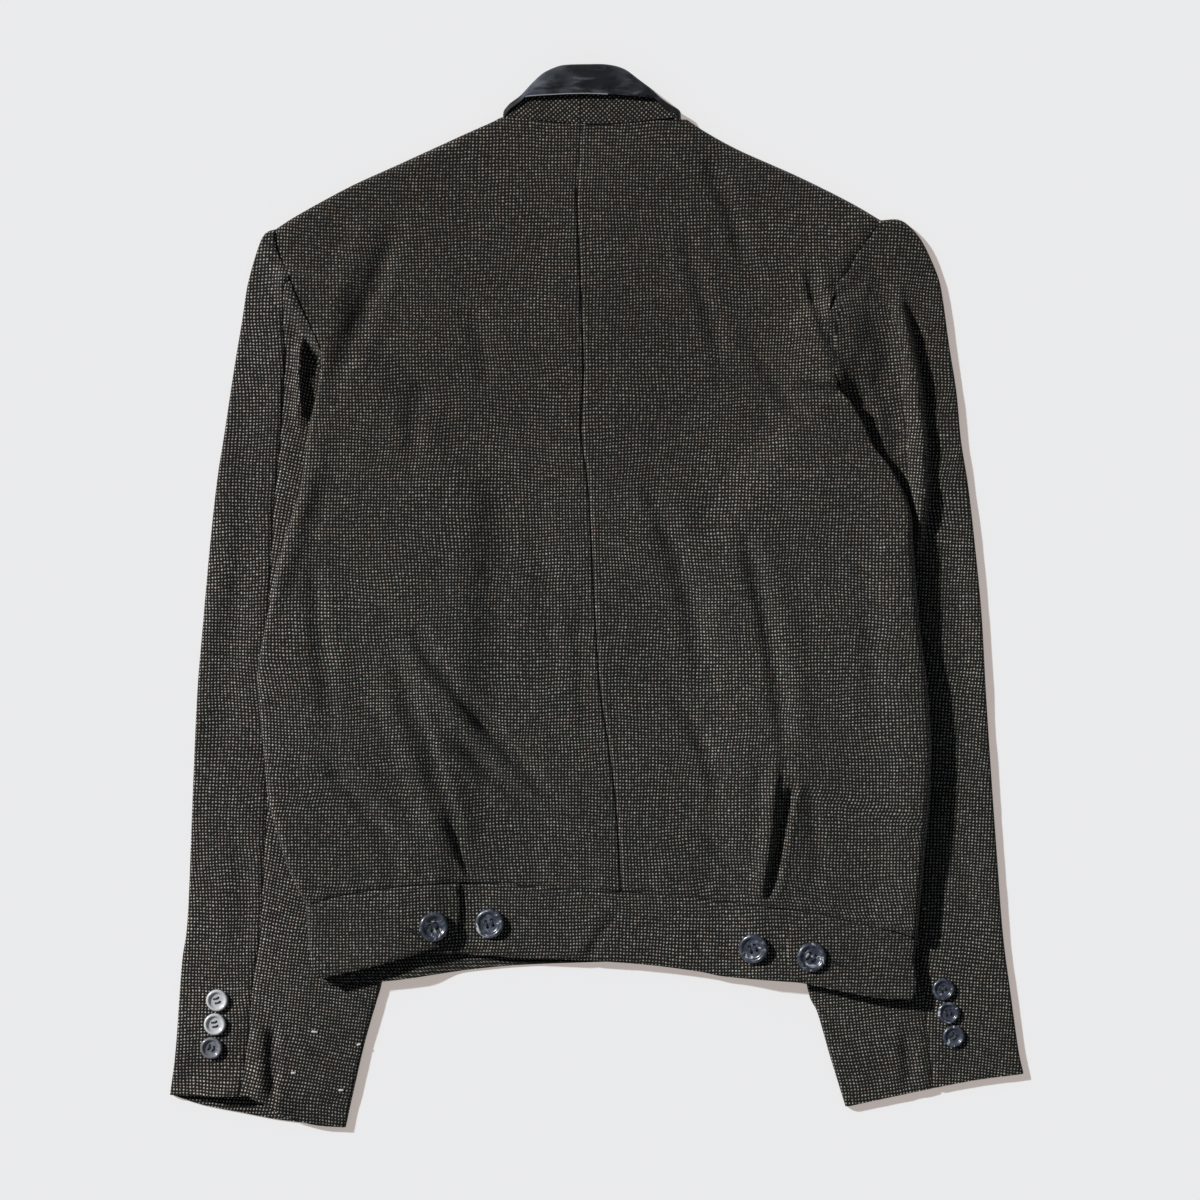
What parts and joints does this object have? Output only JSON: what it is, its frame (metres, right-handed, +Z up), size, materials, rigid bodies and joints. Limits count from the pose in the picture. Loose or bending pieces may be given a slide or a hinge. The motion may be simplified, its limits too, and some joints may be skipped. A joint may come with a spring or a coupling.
{
  "type": "spencer jacket",
  "caption": "Waist-length tweed jacket laid flat on its front, with a turned-down leather collar, two-piece sleeves and a waistband whose tabs button onto the back.",
  "frame": {"origin": "middle of the jacket's extent in plan, on the surface it lies on", "axes": "+Y from hem to collar, +X to the wearer's right, +Z up out of the surface; the back of the jacket faces +Z"},
  "size_m": [0.58, 0.721, 0.0196],
  "materials": {
    "nailhead_tweed": "matte woven wool",
    "collar_leather": "soft satin",
    "button_resin": "polished, marbled"
  },
  "bodies": {
    "root": {"back_left": "nailhead_tweed", "back_right": "nailhead_tweed", "front_left": "nailhead_tweed", "front_right": "nailhead_tweed", "left_sleeve_top": "nailhead_tweed", "left_sleeve_under": "nailhead_tweed", "right_sleeve_top": "nailhead_tweed", "right_sleeve_under": "nailhead_tweed", "under_collar_left": "nailhead_tweed", "under_collar_right": "nailhead_tweed", "waistband_back": "nailhead_tweed", "waistband_left": "nailhead_tweed", "waistband_right": "nailhead_tweed", "top_collar": "collar_leather", "waist_button_1": "button_resin", "waist_button_2": "button_resin", "waist_button_3": "button_resin", "waist_button_4": "button_resin", "left_cuff_button_1": "button_resin", "left_cuff_button_2": "button_resin", "left_cuff_button_3": "button_resin", "right_cuff_button_1": "button_resin", "right_cuff_button_2": "button_resin", "right_cuff_button_3": "button_resin"}
  },
  "joints": []
}
